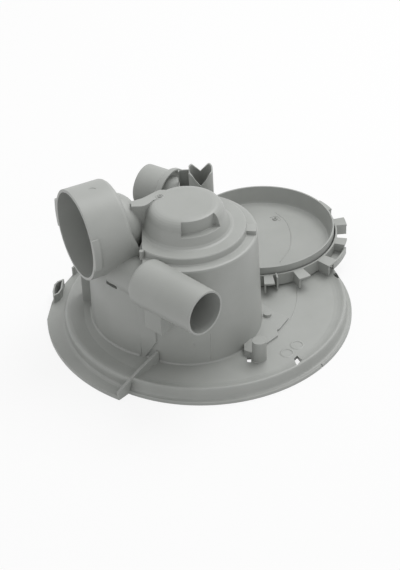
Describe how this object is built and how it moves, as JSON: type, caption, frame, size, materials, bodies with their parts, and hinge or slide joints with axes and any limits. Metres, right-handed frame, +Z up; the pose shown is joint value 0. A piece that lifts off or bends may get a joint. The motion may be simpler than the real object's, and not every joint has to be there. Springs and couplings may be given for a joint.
{
  "type": "pump housing",
  "caption": "Grey one-piece moulded pump housing with a round flange, stepped pot and dome, wide side port, front pipe, rear tube and shallow side dish with a lugged collar.",
  "frame": {"origin": "centre of the round flange on the plane that its rim rests on", "axes": "+Z up from the open mouth to the dome; the front pipe opens towards +X and -Y, the wide port towards -X and the dish lies towards +Y"},
  "size_m": [0.2689, 0.2912, 0.1489],
  "materials": {
    "grey_plastic": "semi-matt, as moulded"
  },
  "bodies": {
    "root": {"pump_housing": "grey_plastic"}
  },
  "joints": []
}
